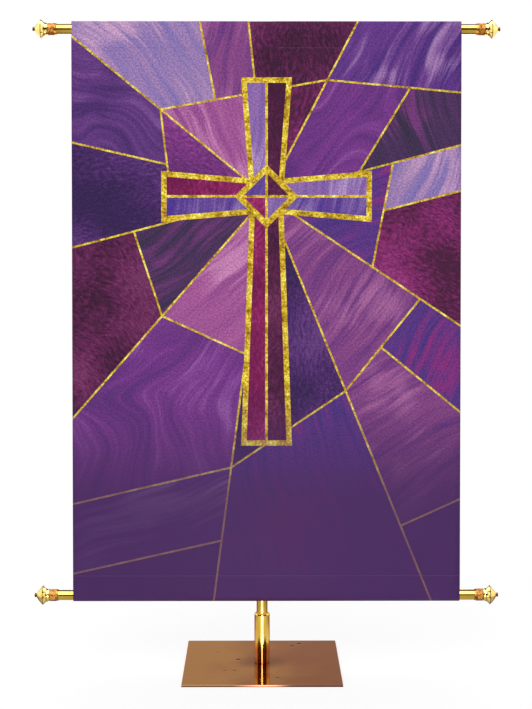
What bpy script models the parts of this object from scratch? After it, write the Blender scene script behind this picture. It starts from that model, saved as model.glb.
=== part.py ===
"""Church banner on a stand.

A printed cloth hangs flat between two brass rods with turned finials. The top rod lies in a cradle on a brass
pole, and the pole stands in a short socket on a square base plate.

Metres, +Z up. The origin is on the floor under the middle of the banner. The banner faces -Y, and the pole's
axis and the plate's centre are at y = 0.
"""

import math

import bmesh
import bpy
from mathutils import Vector

# Driving dimensions
TOUCH_GAP = 0.0003
RUNNING_GAP = 0.0005
ROUND_STEPS = 24

PLATE_SIDE = 0.246
PLATE_THICKNESS = 0.0032
PLATE_EDGE_ROUND = 0.0006

POLE_X = -0.007
POLE_RADIUS = 0.00875
POLE_WALL = 0.0015
SOCKET_RADIUS = 0.0122
SOCKET_HEIGHT = 0.079
SOCKET_RIM_ROUND = 0.0012

CLOTH_WIDTH = 0.610
CLOTH_HEIGHT = 0.914
CLOTH_THICKNESS = 0.0012
CLOTH_SLACK = 0.0006
CLOTH_BOTTOM_Z = 0.1060
POCKET_DEPTH = 0.042
POCKET_SAG = 0.0012
HEM_TAIL = 0.007
CREASE_ABOVE_ROD = 0.0032
CREASE_BEHIND_FRONT = 0.0030
CLOTH_UNEVENNESS = 0.0008
CRADLE_SLOT_WIDTH = 0.044

ROD_RADIUS = 0.00795
ROD_WALL = 0.0012
ROD_Y = -0.020
ROD_END_X = 0.3430

FERRULE_RADIUS = 0.0094
FERRULE_LENGTH = 0.0143
FERRULE_LIP_RADIUS = 0.0086
FERRULE_TAPER = 0.0034
FERRULE_EDGE = 0.0006

FINIAL_NECK_RADIUS = 0.0080
FINIAL_RIM_RADIUS = 0.0151
FINIAL_RIM_AT = 0.0102
FINIAL_CONE_CROWN = 0.0016
FINIAL_KNOB_AT = 0.0206
FINIAL_KNOB_RADIUS = 0.0032
FINIAL_KNOB_ROUND = 0.0010
FINIAL_LENGTH = 0.0234
SPIGOT_LENGTH = 0.015

SADDLE_WIDTH = 0.030
SADDLE_WALL = 0.0025
SADDLE_BACK_DEGREES = 35
SADDLE_FRONT_DEGREES = -115
CAP_RADIUS = 0.01075
CAP_HEIGHT = 0.016
CAP_TOP = 0.0022
CAP_EDGE = 0.0006
GUSSET_WIDTH = 0.010
GUSSET_HEIGHT = 0.003

# Heights that follow
POLE_FOOT_Z = PLATE_THICKNESS + TOUCH_GAP
SOCKET_TOP_Z = PLATE_THICKNESS + SOCKET_HEIGHT
CLOTH_TOP_Z = CLOTH_BOTTOM_Z + CLOTH_HEIGHT
CLOTH_AROUND_ROD = ROD_RADIUS + CLOTH_SLACK
LAYER_MIDDLE = CLOTH_AROUND_ROD + CLOTH_THICKNESS / 2
BOTTOM_ROD_Z = CLOTH_BOTTOM_Z + CLOTH_AROUND_ROD + CLOTH_THICKNESS
TOP_ROD_Z = CLOTH_TOP_Z - CLOTH_THICKNESS / 2 - CREASE_ABOVE_ROD - ROD_RADIUS
POLE_TOP_Z = TOP_ROD_Z + 0.0012


def clear_scene():
    for item in list(bpy.data.objects):
        bpy.data.objects.remove(item, do_unlink=True)


def finish(item, colour, roughness, metallic):
    """Give one object its own material."""
    material = bpy.data.materials.new(item.name)
    material.use_nodes = True
    shader = material.node_tree.nodes["Principled BSDF"]
    shader.inputs["Base Color"].default_value = (*colour, 1.0)
    shader.inputs["Roughness"].default_value = roughness
    shader.inputs["Metallic"].default_value = metallic
    item.data.materials.append(material)


def polished_brass(item):
    finish(item, (0.72, 0.50, 0.16), 0.18, 1.0)


def add_object(name, mesh, parent=None):
    item = bpy.data.objects.new(name, mesh)
    bpy.context.scene.collection.objects.link(item)
    item.parent = parent
    return item


def add_empty(name, place):
    """A hinge's or a stand's reference point."""
    marker = add_object(name, None)
    marker.location = place
    return marker


def round_piece(name, section, parent=None):
    """Turn a section of (radius, height) points about Z. A section that starts and ends on the axis is solid,
    and any other is a closed ring."""
    shape = bmesh.new()
    points = [shape.verts.new((radius, 0.0, height)) for radius, height in section]
    edges = [shape.edges.new(pair) for pair in zip(points, points[1:])]
    if section[0][0] > 0.0:
        edges.append(shape.edges.new((points[-1], points[0])))
    bmesh.ops.spin(
        shape, geom=points + edges, axis=(0, 0, 1), cent=(0, 0, 0), angle=math.tau, steps=ROUND_STEPS
    )
    bmesh.ops.remove_doubles(shape, verts=shape.verts, dist=1e-6)
    bmesh.ops.recalc_face_normals(shape, faces=shape.faces)
    mesh = bpy.data.meshes.new(name)
    shape.to_mesh(mesh)
    shape.free()
    mesh.shade_smooth()
    mesh.set_sharp_from_angle(angle=math.radians(30))
    return add_object(name, mesh, parent)


def straight_tube(name, radius, wall, length, parent):
    """A plain tube with open ends, centred on its length."""
    end = length / 2
    section = [(radius - wall, -end), (radius, -end), (radius, end), (radius - wall, end)]
    return round_piece(name, section, parent)


def box_mesh(name, low, high):
    shape = bmesh.new()
    bmesh.ops.create_cube(shape, size=1.0)
    for point in shape.verts:
        point.co = Vector(high[i] if point.co[i] > 0 else low[i] for i in range(3))
    mesh = bpy.data.meshes.new(name)
    shape.to_mesh(mesh)
    shape.free()
    return mesh


def arc(centre, radius, start_degrees, end_degrees, steps):
    """Points along an arc in the side view, as (y, z). Zero degrees points back, and 90 points up."""
    points = []
    for step in range(steps + 1):
        turn = math.radians(start_degrees + (end_degrees - start_degrees) * step / steps)
        points.append((centre[0] + radius * math.cos(turn), centre[1] + radius * math.sin(turn)))
    return points


def make_base_plate(stand):
    """Square plate with softened edges, its underside on the floor."""
    half = PLATE_SIDE / 2
    plate = add_object(
        "base_plate", box_mesh("base_plate", (-half, -half, 0), (half, half, PLATE_THICKNESS)), stand
    )
    rounding = plate.modifiers.new("softened edges", "BEVEL")
    rounding.width = PLATE_EDGE_ROUND
    rounding.segments = 2
    finish(plate, (0.36, 0.17, 0.07), 0.16, 1.0)


def make_socket_tube(stand):
    """Thick-walled tube with a rounded rim, standing on the plate."""
    bore = POLE_RADIUS + RUNNING_GAP
    foot = PLATE_THICKNESS + TOUCH_GAP
    shoulder = 0.3 * SOCKET_RIM_ROUND
    inner_edge = 0.4 * SOCKET_RIM_ROUND
    section = [
        (bore, foot),
        (SOCKET_RADIUS, foot),
        (SOCKET_RADIUS, SOCKET_TOP_Z - SOCKET_RIM_ROUND),
        (SOCKET_RADIUS - shoulder, SOCKET_TOP_Z - shoulder),
        (SOCKET_RADIUS - SOCKET_RIM_ROUND, SOCKET_TOP_Z),
        (bore + inner_edge, SOCKET_TOP_Z),
        (bore, SOCKET_TOP_Z - inner_edge),
    ]
    polished_brass(round_piece("socket_tube", section, stand))


def make_pole(swivel):
    """Plain tube from the bottom of the socket up to the cradle, open at both ends."""
    pole = straight_tube("pole", POLE_RADIUS, POLE_WALL, POLE_TOP_Z - POLE_FOOT_Z, swivel)
    pole.location.z = (POLE_TOP_Z + POLE_FOOT_Z) / 2
    polished_brass(pole)


def cradle_cap():
    """Cap that fits over the pole's top end."""
    bore = POLE_RADIUS + TOUCH_GAP
    top = POLE_TOP_Z + TOUCH_GAP + CAP_TOP
    section = [
        (0.0, POLE_TOP_Z + TOUCH_GAP),
        (bore, POLE_TOP_Z + TOUCH_GAP),
        (bore, top - CAP_HEIGHT),
        (CAP_RADIUS, top - CAP_HEIGHT),
        (CAP_RADIUS, top - CAP_EDGE),
        (CAP_RADIUS - CAP_EDGE, top),
        (0.0, top),
    ]
    return round_piece("cradle", section)


def cradle_saddle():
    """Half-round trough that the top rod lies in, open to the front and the top."""
    centre = (ROD_Y, TOP_ROD_Z)
    inner = ROD_RADIUS + TOUCH_GAP
    inside = arc(centre, inner, SADDLE_BACK_DEGREES, SADDLE_FRONT_DEGREES, 10)
    outside = arc(centre, inner + SADDLE_WALL, SADDLE_FRONT_DEGREES, SADDLE_BACK_DEGREES, 10)
    shape = bmesh.new()
    side = shape.faces.new([shape.verts.new((-SADDLE_WIDTH / 2, y, z)) for y, z in inside + outside])
    swept = bmesh.ops.extrude_face_region(shape, geom=[side])["geom"]
    moved = [item for item in swept if isinstance(item, bmesh.types.BMVert)]
    bmesh.ops.translate(shape, verts=moved, vec=(SADDLE_WIDTH, 0, 0))
    bmesh.ops.recalc_face_normals(shape, faces=shape.faces)
    mesh = bpy.data.meshes.new("saddle")
    shape.to_mesh(mesh)
    shape.free()
    return add_object("saddle", mesh)


def cradle_gusset():
    """Small web under the saddle that ties it to the cap's front. It ends inside the walls of both."""
    saddle_middle = ROD_RADIUS + TOUCH_GAP + SADDLE_WALL / 2
    cap_wall = CAP_RADIUS - POLE_RADIUS - TOUCH_GAP
    top = TOP_ROD_Z - saddle_middle
    low = (-GUSSET_WIDTH / 2, ROD_Y + SADDLE_WALL / 2, top - GUSSET_HEIGHT)
    high = (GUSSET_WIDTH / 2, -CAP_RADIUS + cap_wall / 2, top)
    return add_object("gusset", box_mesh("gusset", low, high))


def join_into(body, extra):
    """Union a construction piece into a body and take the construction piece away."""
    union = body.modifiers.new(extra.name, "BOOLEAN")
    union.operation = "UNION"
    union.object = extra
    bpy.context.view_layer.update()
    solved = bpy.data.meshes.new_from_object(body.evaluated_get(bpy.context.evaluated_depsgraph_get()))
    body.modifiers.remove(union)
    body.data = solved
    bpy.data.objects.remove(extra, do_unlink=True)


def make_cradle(swivel):
    """One cast piece: the cap, the saddle and the gusset between them."""
    cradle = cradle_cap()
    join_into(cradle, cradle_saddle())
    join_into(cradle, cradle_gusset())
    cradle.data.name = "cradle"
    cradle.parent = swivel
    polished_brass(cradle)


def make_rod(name, height, swivel):
    """Tube across the banner, which lies in one of the cloth's pockets."""
    rod = straight_tube(name, ROD_RADIUS, ROD_WALL, 2 * ROD_END_X, swivel)
    rod.location = (-POLE_X, ROD_Y, height)
    rod.rotation_euler.y = math.radians(90)
    polished_brass(rod)


def ferrule_section():
    """Ring over the rod's end, with a taper towards the cloth."""
    bore = ROD_RADIUS + TOUCH_GAP
    return [
        (bore, 0.0),
        (FERRULE_LIP_RADIUS, 0.0),
        (FERRULE_RADIUS, FERRULE_TAPER),
        (FERRULE_RADIUS, FERRULE_LENGTH - FERRULE_EDGE),
        (FERRULE_RADIUS - FERRULE_EDGE, FERRULE_LENGTH),
        (bore, FERRULE_LENGTH),
    ]


def finial_section():
    """Spigot, neck, hollow flare to a sharp rim, rounded cone and small knob, from the rod outwards."""
    spigot = ROD_RADIUS - ROD_WALL - TOUCH_GAP
    section = [(0.0, -SPIGOT_LENGTH), (spigot, -SPIGOT_LENGTH), (spigot, 0.0), (FINIAL_NECK_RADIUS, 0.0)]
    flare_steps = 4
    for step in range(1, flare_steps + 1):
        along = step / flare_steps
        radius = FINIAL_NECK_RADIUS + (FINIAL_RIM_RADIUS - FINIAL_NECK_RADIUS) * along**1.3
        section.append((radius, FINIAL_RIM_AT * along))
    groove_radius = 0.8 * FINIAL_KNOB_RADIUS
    cone_steps = 5
    for step in range(1, cone_steps + 1):
        along = step / cone_steps
        crown = FINIAL_CONE_CROWN * math.sin(math.pi * along)
        radius = FINIAL_RIM_RADIUS + (groove_radius - FINIAL_RIM_RADIUS) * along + crown
        section.append((radius, FINIAL_RIM_AT + (FINIAL_KNOB_AT - FINIAL_RIM_AT) * along))
    section += [
        (FINIAL_KNOB_RADIUS, FINIAL_KNOB_AT + 0.5 * FINIAL_KNOB_ROUND),
        (FINIAL_KNOB_RADIUS, FINIAL_LENGTH - FINIAL_KNOB_ROUND),
        (0.7 * FINIAL_KNOB_RADIUS, FINIAL_LENGTH - 0.3 * FINIAL_KNOB_ROUND),
        (0.0, FINIAL_LENGTH),
    ]
    return section


def make_rod_ends(level, height, swivel):
    """A ferrule and a finial on each end of one rod."""
    for side, direction in (("left", -1), ("right", 1)):
        ferrule = round_piece(f"ferrule_{level}_{side}", ferrule_section(), swivel)
        ferrule.location = (direction * (ROD_END_X - FERRULE_LENGTH) - POLE_X, ROD_Y, height)
        finish(ferrule, (0.68, 0.36, 0.09), 0.32, 1.0)
        finial = round_piece(f"finial_{level}_{side}", finial_section(), swivel)
        finial.location = (direction * (ROD_END_X + TOUCH_GAP) - POLE_X, ROD_Y, height)
        polished_brass(finial)
        for piece in (ferrule, finial):
            piece.rotation_euler.y = math.radians(90 * direction)


def tangent_from(point, centre, radius):
    """Angle in degrees, seen from the centre, where a line from the point touches the circle's far side."""
    away_y, away_z = point[0] - centre[0], point[1] - centre[1]
    opening = math.acos(radius / math.hypot(away_y, away_z))
    return math.degrees(math.atan2(away_z, away_y) - opening)


def pocket_back(start_degrees, centre, stitch_z, up):
    """The pocket's back layer, as (y, z): round the rod's back, across to the sheet, and along its tail."""
    leave_degrees = -35 * up
    steps = max(3, round(abs(start_degrees - leave_degrees) / 24))
    points = arc(centre, LAYER_MIDDLE, start_degrees, leave_degrees, steps)
    sheet_back = ROD_Y - LAYER_MIDDLE + CLOTH_THICKNESS
    leave_y, leave_z = points[-1]
    for along in (0.35, 0.7):
        sag = POCKET_SAG * math.sin(math.pi * along)
        y = leave_y + (sheet_back - leave_y) * along - sag
        points.append((y, leave_z + (stitch_z - leave_z) * along))
    return points + [(sheet_back, stitch_z), (sheet_back, stitch_z - HEM_TAIL * up)]


def cloth_path():
    """The cloth's middle line in the side view, from the top hem's end over the top rod, down the front and
    round the bottom rod to the bottom hem's end. Each point is (y, z, layer)."""
    front = ROD_Y - LAYER_MIDDLE
    top_rod, bottom_rod = (ROD_Y, TOP_ROD_Z), (ROD_Y, BOTTOM_ROD_Z)
    top_stitch, bottom_stitch = CLOTH_TOP_Z - POCKET_DEPTH, CLOTH_BOTTOM_Z + POCKET_DEPTH
    crease = (front + CREASE_BEHIND_FRONT, CLOTH_TOP_Z - CLOTH_THICKNESS / 2)
    touch = tangent_from(crease, top_rod, LAYER_MIDDLE)
    top_back = pocket_back(touch, top_rod, top_stitch, 1)[::-1]
    open_high, open_low = top_stitch - HEM_TAIL, bottom_stitch + HEM_TAIL
    face_heights = [TOP_ROD_Z + ROD_RADIUS / 2, TOP_ROD_Z - ROD_RADIUS, top_stitch]
    open_rows = 16
    for row in range(open_rows + 1):
        face_heights.append(open_high + (open_low - open_high) * row / open_rows)
    face_heights += [bottom_stitch, BOTTOM_ROD_Z + ROD_RADIUS]
    under = arc(bottom_rod, LAYER_MIDDLE, 180, 330, 6)
    bottom_back = pocket_back(-30, bottom_rod, bottom_stitch, -1)[1:]
    path = [(y, z, "top pocket") for y, z in top_back]
    path += [(*crease, "face")]
    path += [(front, z, "face") for z in face_heights]
    path += [(y, z, "face") for y, z in under]
    path += [(y, z, "bottom pocket") for y, z in bottom_back]
    return path


def offset_pair(path, index):
    """The two surface points at one point of the path, square to it. At a stitch line they are square to the
    hem's tail, so that the tail lies on the sheet."""
    here = Vector(path[index][:2])
    before = Vector(path[max(index - 1, 0)][:2])
    after = Vector(path[min(index + 1, len(path) - 1)][:2])
    if index == 1:
        after = here
    if index == len(path) - 2:
        before = here
    runs = [run.normalized() for run in (here - before, after - here) if run.length > 0]
    along = sum(runs, Vector((0, 0))).normalized()
    outwards = Vector((along.y, -along.x))
    miter = 1.0 / max(0.5, along.dot(runs[0]))
    half = outwards * (CLOTH_THICKNESS / 2 * miter)
    return here - half, here + half


def unevenness(x, z):
    """Slow waves across the open face that die away at the two rods."""
    along = (z - BOTTOM_ROD_Z) / (TOP_ROD_Z - BOTTOM_ROD_Z)
    if not 0.0 < along < 1.0:
        return 0.0
    held = math.sin(math.pi * along) ** 2
    wave = math.sin(7.3 * x + 5.1 * along) + 0.6 * math.sin(17.0 * x - 8.0 * along + 1.0)
    return CLOTH_UNEVENNESS * held * wave


def cloth_columns():
    """Places across the width, with one column where the top pocket is open for the cradle."""
    half = CLOTH_WIDTH / 2
    slot = (POLE_X - CRADLE_SLOT_WIDTH / 2, POLE_X + CRADLE_SLOT_WIDTH / 2)
    side_columns = 7
    left = [-half + (slot[0] + half) * step / side_columns for step in range(side_columns + 1)]
    right = [slot[1] + (half - slot[1]) * step / side_columns for step in range(side_columns + 1)]
    return left + right, side_columns


def make_cloth(swivel):
    """One sheet with both rod pockets, built from small cells. Faces between two cells are left out, so the
    hems are one with the sheet where they are sewn to it."""
    path = cloth_path()
    columns, slot_column = cloth_columns()
    shape = bmesh.new()
    corners = {}
    faces = {}

    def corner(x, point):
        key = (round(x, 6), round(point.x, 6), round(point.y, 6))
        if key not in corners:
            corners[key] = shape.verts.new((x - POLE_X, point.x + unevenness(x, point.y), point.y))
        return corners[key]

    for step in range(len(path) - 1):
        near, far = offset_pair(path, step), offset_pair(path, step + 1)
        in_top_pocket = path[step][2] == "top pocket"
        for column in range(len(columns) - 1):
            if in_top_pocket and column == slot_column:
                continue
            left, right = columns[column], columns[column + 1]
            a, b, c, d = [corner(left, point) for point in (near[0], near[1], far[1], far[0])]
            e, f, g, h = [corner(right, point) for point in (near[0], near[1], far[1], far[0])]
            for side in ((a, b, c, d), (e, h, g, f), (a, e, f, b), (b, f, g, c), (c, g, h, d), (d, h, e, a)):
                faces.setdefault(frozenset(side), []).append(side)
    for sides in faces.values():
        if len(sides) == 1:
            shape.faces.new(sides[0])
    bmesh.ops.recalc_face_normals(shape, faces=shape.faces)
    mesh = bpy.data.meshes.new("banner_cloth")
    shape.to_mesh(mesh)
    shape.free()
    cloth = add_object("banner_cloth", mesh, swivel)
    finish(cloth, (0.16, 0.05, 0.26), 0.75, 0.0)


def main():
    clear_scene()
    stand = add_empty("stand", (POLE_X, 0, 0))
    swivel = add_empty("pole_swivel", (POLE_X, 0, 0))
    make_base_plate(stand)
    make_socket_tube(stand)
    make_pole(swivel)
    make_cradle(swivel)
    for level, height in (("top", TOP_ROD_Z), ("bottom", BOTTOM_ROD_Z)):
        make_rod(f"{level}_rod", height, swivel)
        make_rod_ends(level, height, swivel)
    make_cloth(swivel)


main()
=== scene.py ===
import math

import bmesh
import bpy
from mathutils import Matrix, Vector


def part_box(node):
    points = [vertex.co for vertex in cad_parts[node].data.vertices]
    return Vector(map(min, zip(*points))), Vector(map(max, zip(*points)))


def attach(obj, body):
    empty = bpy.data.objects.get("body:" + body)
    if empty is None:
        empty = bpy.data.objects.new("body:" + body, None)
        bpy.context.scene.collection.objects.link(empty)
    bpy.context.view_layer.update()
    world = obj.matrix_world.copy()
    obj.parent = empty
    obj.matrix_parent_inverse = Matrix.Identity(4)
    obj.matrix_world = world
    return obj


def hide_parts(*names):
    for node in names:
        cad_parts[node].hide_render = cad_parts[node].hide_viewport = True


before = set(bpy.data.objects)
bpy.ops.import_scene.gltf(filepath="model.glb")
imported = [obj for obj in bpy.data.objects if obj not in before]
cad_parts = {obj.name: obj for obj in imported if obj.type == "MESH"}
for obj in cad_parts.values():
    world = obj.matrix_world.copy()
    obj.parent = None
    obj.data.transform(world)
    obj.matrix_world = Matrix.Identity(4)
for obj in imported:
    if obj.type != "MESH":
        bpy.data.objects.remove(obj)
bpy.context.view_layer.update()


# Base plate: a square of rolled brass plate, toned to bronze, polished and lacquered. Its edges are broken
# with a file. It has a few small dents and soft clouds in its toning. Painted reflection is put in its colour:
# it darkens and reddens towards the right, and a dark red round the socket's foot stands for the socket's
# reflection.
plate_low, plate_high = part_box("base_plate")
socket_low, socket_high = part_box("socket_tube")
STAND_X = (socket_low.x + socket_high.x) / 2
PLATE_EDGE = 0.0003
# The plate's two tones, between which its random clouds and its painted left-to-right reflection run
PLATE_TONES = ("#8c5040", "#b88452")
PLATE_GRAZING = "#fadfc8"
# Painted reflection of the socket in the plate: its dark red, and how far from the socket's axis it is full and
# where it ends
PLATE_PAINTED_SOCKET_REFLECTION = "#642c3c"
PLATE_PAINTED_SOCKET_REFLECTION_REACH = (0.015, 0.048)
# Millimetres across a cloud of the toning, and across a smear of the polish
TONING_CLOUD = 111.1
PLATE_SMEAR = 16.7
DENT_RADIUS = 0.0030
DENT_DIRT = "#241c18"
# Dents, as millimetres right of and behind the plate's middle, and how deep and tarnished each is
PLATE_DENTS = (
    (-38.0, 11.7, 1.0), (49.7, 87.8, 0.9), (61.7, 101.3, 1.0), (-58.3, -48.7, 0.35), (-43.1, -48.8, 0.45),
    (23.5, -87.3, 0.5), (-72.0, 52.0, 0.3), (88.0, 104.0, 0.3),
)


def srgb(code):
    """Linear colour of an sRGB hex value."""
    parts = [int(code[i:i + 2], 16) / 255 for i in (1, 3, 5)]
    return [part / 12.92 if part <= 0.04045 else ((part + 0.055) / 1.055) ** 2.4 for part in parts] + [1.0]


def fill_inputs(node, inputs):
    """Fill a node's inputs with values, with other nodes or with their outputs. A list fills the inputs in
    use in their order, and a node stands for its first output in use."""
    pairs = inputs.items() if isinstance(inputs, dict) else enumerate(inputs)
    in_use = [socket for socket in node.inputs if socket.enabled]
    for place, value in pairs:
        socket = node.inputs[place] if isinstance(inputs, dict) else in_use[place]
        if isinstance(value, bpy.types.Node):
            value = next(output for output in value.outputs if output.enabled)
        if isinstance(value, bpy.types.NodeSocket):
            node.id_data.links.new(value, socket)
        else:
            socket.default_value = value


def add_node(tree, kind, inputs, **settings):
    """Add one node with its settings, and fill its inputs."""
    node = tree.nodes.new(kind)
    for name, value in settings.items():
        setattr(node, name, value)
    fill_inputs(node, inputs)
    return node


def new_material(name):
    """An empty material with its shader and output, to be filled in."""
    material = bpy.data.materials.new(name)
    material.use_nodes = True
    tree = material.node_tree
    return material, tree, tree.nodes["Principled BSDF"]


def new_piece(name, shape, material, smooth_degrees=35):
    """Turn a finished bmesh into an object at the origin."""
    mesh = bpy.data.meshes.new(name)
    shape.to_mesh(mesh)
    shape.free()
    mesh.shade_smooth()
    mesh.set_sharp_from_angle(angle=math.radians(smooth_degrees))
    mesh.materials.append(material)
    piece = bpy.data.objects.new(name, mesh)
    bpy.context.scene.collection.objects.link(piece)
    return piece


def make_plain(piece):
    """Replace a piece's mesh by what its modifiers make of it, and take the modifiers away."""
    bpy.context.view_layer.update()
    made = bpy.data.meshes.new_from_object(piece.evaluated_get(bpy.context.evaluated_depsgraph_get()))
    piece.modifiers.clear()
    piece.data = made
    made.name = piece.name


def toned_bronze():
    """Polished brass toned to bronze under lacquer: mirror-like, with warm clouds, and dents that catch the
    light.
    Painted reflection is put in its colour: darker and redder towards the right, and a dark red round the
    socket's foot that stands for the socket's reflection."""
    material, tree, shader = new_material("bronze_toned_brass_lacquered")
    place = add_node(tree, "ShaderNodeTexCoord", {}).outputs["Object"]
    cloud = add_node(tree, "ShaderNodeTexNoise", {"Vector": place, "Scale": 1000 / TONING_CLOUD, "Detail": 3.0})
    across = add_node(tree, "ShaderNodeSeparateXYZ", [place])
    # Painted reflection: besides the random clouds, the tone runs from light tan at the left to dark red at the
    # right
    clouds_and_painted_reflection = add_node(tree, "ShaderNodeMath", [across, -3.0, cloud], operation="MULTIPLY_ADD")
    tone = add_node(tree, "ShaderNodeMapRange", [clouds_and_painted_reflection, 0.25, 0.8], interpolation_type="SMOOTHSTEP")
    colour = add_node(tree, "ShaderNodeMix", [tone, srgb(PLATE_TONES[0]), srgb(PLATE_TONES[1])],
                      data_type="RGBA")
    # Painted reflection of the socket: a dark red round the socket's foot
    foot = add_node(tree, "ShaderNodeVectorMath", [place, (STAND_X, 0.0, plate_high.z)], operation="DISTANCE")
    painted_reflection_share = add_node(tree, "ShaderNodeMapRange", [foot, *PLATE_PAINTED_SOCKET_REFLECTION_REACH, 0.7, 0.0],
                    interpolation_type="SMOOTHSTEP")
    colour = add_node(tree, "ShaderNodeMix", [painted_reflection_share, colour, srgb(PLATE_PAINTED_SOCKET_REFLECTION)], data_type="RGBA")
    depth = 0.0
    for right, behind, strength in PLATE_DENTS:
        centre = ((plate_low.x + plate_high.x) / 2 + right / 1000, behind / 1000, plate_high.z)
        away = add_node(tree, "ShaderNodeVectorMath", [place, centre], operation="DISTANCE")
        slope = [away, DENT_RADIUS * 0.4, DENT_RADIUS * (0.7 + strength), strength, 0.0]
        dent = add_node(tree, "ShaderNodeMapRange", slope, interpolation_type="SMOOTHSTEP")
        depth = add_node(tree, "ShaderNodeMath", [depth, dent], operation="ADD")
    dirt = add_node(tree, "ShaderNodeMath", [depth, 0.92], operation="MULTIPLY")
    colour = add_node(tree, "ShaderNodeMix", [dirt, colour, srgb(DENT_DIRT)], data_type="RGBA")
    smear = add_node(tree, "ShaderNodeTexNoise", {"Vector": place, "Scale": 1000 / PLATE_SMEAR, "Detail": 4.0})
    rough = add_node(tree, "ShaderNodeMapRange", [smear, 0.3, 0.7, 0.05, 0.11])
    relief = add_node(tree, "ShaderNodeBump", {"Height": depth, "Strength": 0.7, "Distance": 0.0008}, invert=True)
    fill_inputs(shader, {
        "Base Color": colour, "Metallic": 1.0, "Specular Tint": srgb(PLATE_GRAZING), "Roughness": rough,
        "Normal": relief,
    })
    return material


shape = bmesh.new()
bmesh.ops.create_cube(shape, size=1.0)
for point in shape.verts:
    point.co = Vector(plate_high[i] if point.co[i] > 0 else plate_low[i] for i in range(3))
plate = new_piece("bronze_plate", shape, toned_bronze())
rounding = plate.modifiers.new("broken edges", "BEVEL")
rounding.width = PLATE_EDGE
rounding.segments = 3
make_plain(plate)
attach(plate, "stand_base")
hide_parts("base_plate")


# Socket tube: a short length of thick-walled brass tube, its rim turned to a tapered lip and its foot turned
# in. Polished brass keeps a clear coat of lacquer, so it mirrors the room and yellows a little where it is
# thicker.
pole_low, pole_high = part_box("pole")
SOCKET_RADIUS = (socket_high.x - socket_low.x) / 2
POLE_RADIUS = (pole_high.x - pole_low.x) / 2
SOCKET_BORE = POLE_RADIUS + 0.0005
SOCKET_LIP_HEIGHT = 0.0024
SOCKET_LIP_DRAW = 0.0006
SOCKET_RIM = 0.0005
SOCKET_FOOT_HEIGHT = 0.0012
SOCKET_FOOT_DRAW = 0.0007
# Painted reflection of the plate in the socket: the heights where it is full and where it ends, and its
# purple-brown
SOCKET_PAINTED_REFLECTION_REACH = (0.022, 0.036)
SOCKET_PAINTED_PLATE_REFLECTION = "#8c4a60"
TURNED_STEPS = 96
BRASS = "#e4bf58"
BRASS_DEEP = "#cf9c3a"
# Millimetres across a drift of the brass's tone, and across a wheel mark, which is drawn coarser than a real
# one
BRASS_DRIFT = 28.6
WHEEL_MARK = 1.43


def corner_arc(centre, radius, start_degrees, end_degrees, steps=5):
    """Points of a rounded corner in a section, as (radius, height)."""
    points = []
    for step in range(steps + 1):
        turn = math.radians(start_degrees + (end_degrees - start_degrees) * step / steps)
        points.append((centre[0] + radius * math.cos(turn), centre[1] + radius * math.sin(turn)))
    return points


def turned(section, steps=TURNED_STEPS):
    """Turn a section of (radius, height) points about Z. One that starts on the axis is solid, another a
    ring."""
    shape = bmesh.new()
    points = [shape.verts.new((radius, 0.0, height)) for radius, height in section]
    edges = [shape.edges.new(pair) for pair in zip(points, points[1:])]
    if section[0][0] > 0.0:
        edges.append(shape.edges.new((points[-1], points[0])))
    bmesh.ops.spin(shape, geom=points + edges, axis=(0, 0, 1), cent=(0, 0, 0), angle=math.tau, steps=steps)
    bmesh.ops.remove_doubles(shape, verts=shape.verts, dist=1e-6)
    bmesh.ops.recalc_face_normals(shape, faces=shape.faces)
    return shape


def polished_brass(name, colour, deep_colour, roughness):
    """Lacquered brass off the buffing wheel: a clean mirror with faint wheel marks and slow drifts of
    tone."""
    material, tree, shader = new_material(name)
    place = add_node(tree, "ShaderNodeTexCoord", {}).outputs["Object"]
    drift = add_node(tree, "ShaderNodeTexNoise", {"Vector": place, "Scale": 1000 / BRASS_DRIFT, "Detail": 3.0})
    marks = add_node(tree, "ShaderNodeTexNoise", {"Vector": place, "Scale": 1000 / WHEEL_MARK, "Detail": 2.0})
    deep = add_node(tree, "ShaderNodeMapRange", [drift, 0.42, 0.75])
    mixed = add_node(tree, "ShaderNodeMix", [deep, srgb(colour), srgb(deep_colour)], data_type="RGBA")
    rough = add_node(tree, "ShaderNodeMapRange", [marks, 0.3, 0.7, roughness * 0.75, roughness * 1.3])
    fill_inputs(shader, {"Base Color": mixed, "Roughness": rough, "Metallic": 1.0})
    return material


def brass_with_painted_plate_reflection():
    """The tubes' brass, with painted reflection: a purple-brown standing for the plate's reflection fills the
    socket's lower part and fades out upwards.
    """
    material = polished_brass("brass_socket_painted_plate_reflection", BRASS, BRASS_DEEP, 0.10)
    tree = material.node_tree
    shader = tree.nodes["Principled BSDF"]
    polished = shader.inputs["Base Color"].links[0].from_socket
    place = add_node(tree, "ShaderNodeTexCoord", {}).outputs["Object"]
    height = add_node(tree, "ShaderNodeSeparateXYZ", [place]).outputs["Z"]
    # Painted reflection of the plate: purple-brown low on the socket, fading out upwards
    painted_reflection_share = add_node(tree, "ShaderNodeMapRange", [height, *SOCKET_PAINTED_REFLECTION_REACH, 0.55, 0.0],
                    interpolation_type="SMOOTHSTEP")
    with_painted_reflection = add_node(tree, "ShaderNodeMix", [painted_reflection_share, polished, srgb(SOCKET_PAINTED_PLATE_REFLECTION)], data_type="RGBA")
    fill_inputs(shader, {"Base Color": with_painted_reflection})
    return material


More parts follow.
